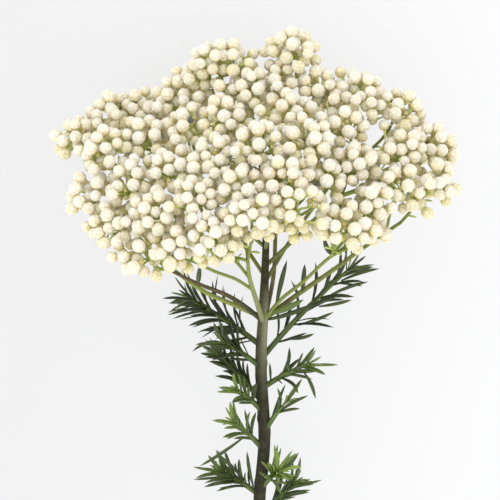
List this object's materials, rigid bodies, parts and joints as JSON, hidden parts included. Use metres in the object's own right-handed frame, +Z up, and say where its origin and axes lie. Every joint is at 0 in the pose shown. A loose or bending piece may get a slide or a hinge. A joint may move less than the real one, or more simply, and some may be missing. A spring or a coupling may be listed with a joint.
{
  "type": "ozothamnus stem",
  "caption": "Cut stem of rice flower lying down: a woody stem with needle-leaved side shoots and a domed head of small cream buds.",
  "frame": {"origin": "middle of the underside of the whole part's box, on the surface that the stem lies on", "axes": "+Y along the stem from its cut end to its head, +Z up from the surface, +X across the head"},
  "size_m": [0.1134, 0.2218, 0.0745],
  "materials": {
    "bark": "dull ridged bark, olive brown, greener towards the head",
    "buds": "dry papery overlapping bracts, matt cream",
    "leaves": "narrow leathery leaves, satin dark green"
  },
  "bodies": {
    "root": {"main_stem": "bark", "spray_01": "buds", "spray_02": "buds", "spray_03": "buds", "spray_04": "buds", "spray_05": "buds", "spray_06": "buds", "spray_07": "buds", "spray_08": "buds", "spray_09": "buds", "spray_10": "buds", "spray_11": "buds", "spray_12": "buds", "spray_13": "buds", "spray_14": "buds", "spray_15": "buds", "spray_16": "buds", "spray_17": "buds", "spray_18": "buds", "spray_19": "buds", "spray_20": "buds", "spray_21": "buds", "spray_22": "buds", "spray_23": "buds", "spray_24": "buds", "spray_25": "buds", "spray_26": "buds", "spray_27": "buds", "spray_28": "buds", "spray_29": "buds", "spray_30": "buds", "spray_31": "buds", "spray_32": "buds", "spray_33": "buds", "spray_34": "buds", "spray_35": "buds", "spray_36": "buds", "spray_37": "buds", "spray_38": "buds", "spray_39": "buds", "spray_40": "buds", "spray_41": "buds", "spray_42": "buds", "spray_43": "buds", "spray_44": "buds", "spray_45": "buds", "spray_46": "buds", "spray_47": "buds", "spray_48": "buds", "leafy_shoot_01": "leaves", "leafy_shoot_02": "leaves", "leafy_shoot_03": "leaves", "leafy_shoot_04": "leaves", "leafy_shoot_05": "leaves", "leafy_shoot_06": "leaves", "leafy_shoot_07": "leaves", "leafy_shoot_08": "leaves", "leafy_shoot_09": "leaves", "leafy_shoot_10": "leaves", "leafy_shoot_11": "leaves"}
  },
  "joints": []
}
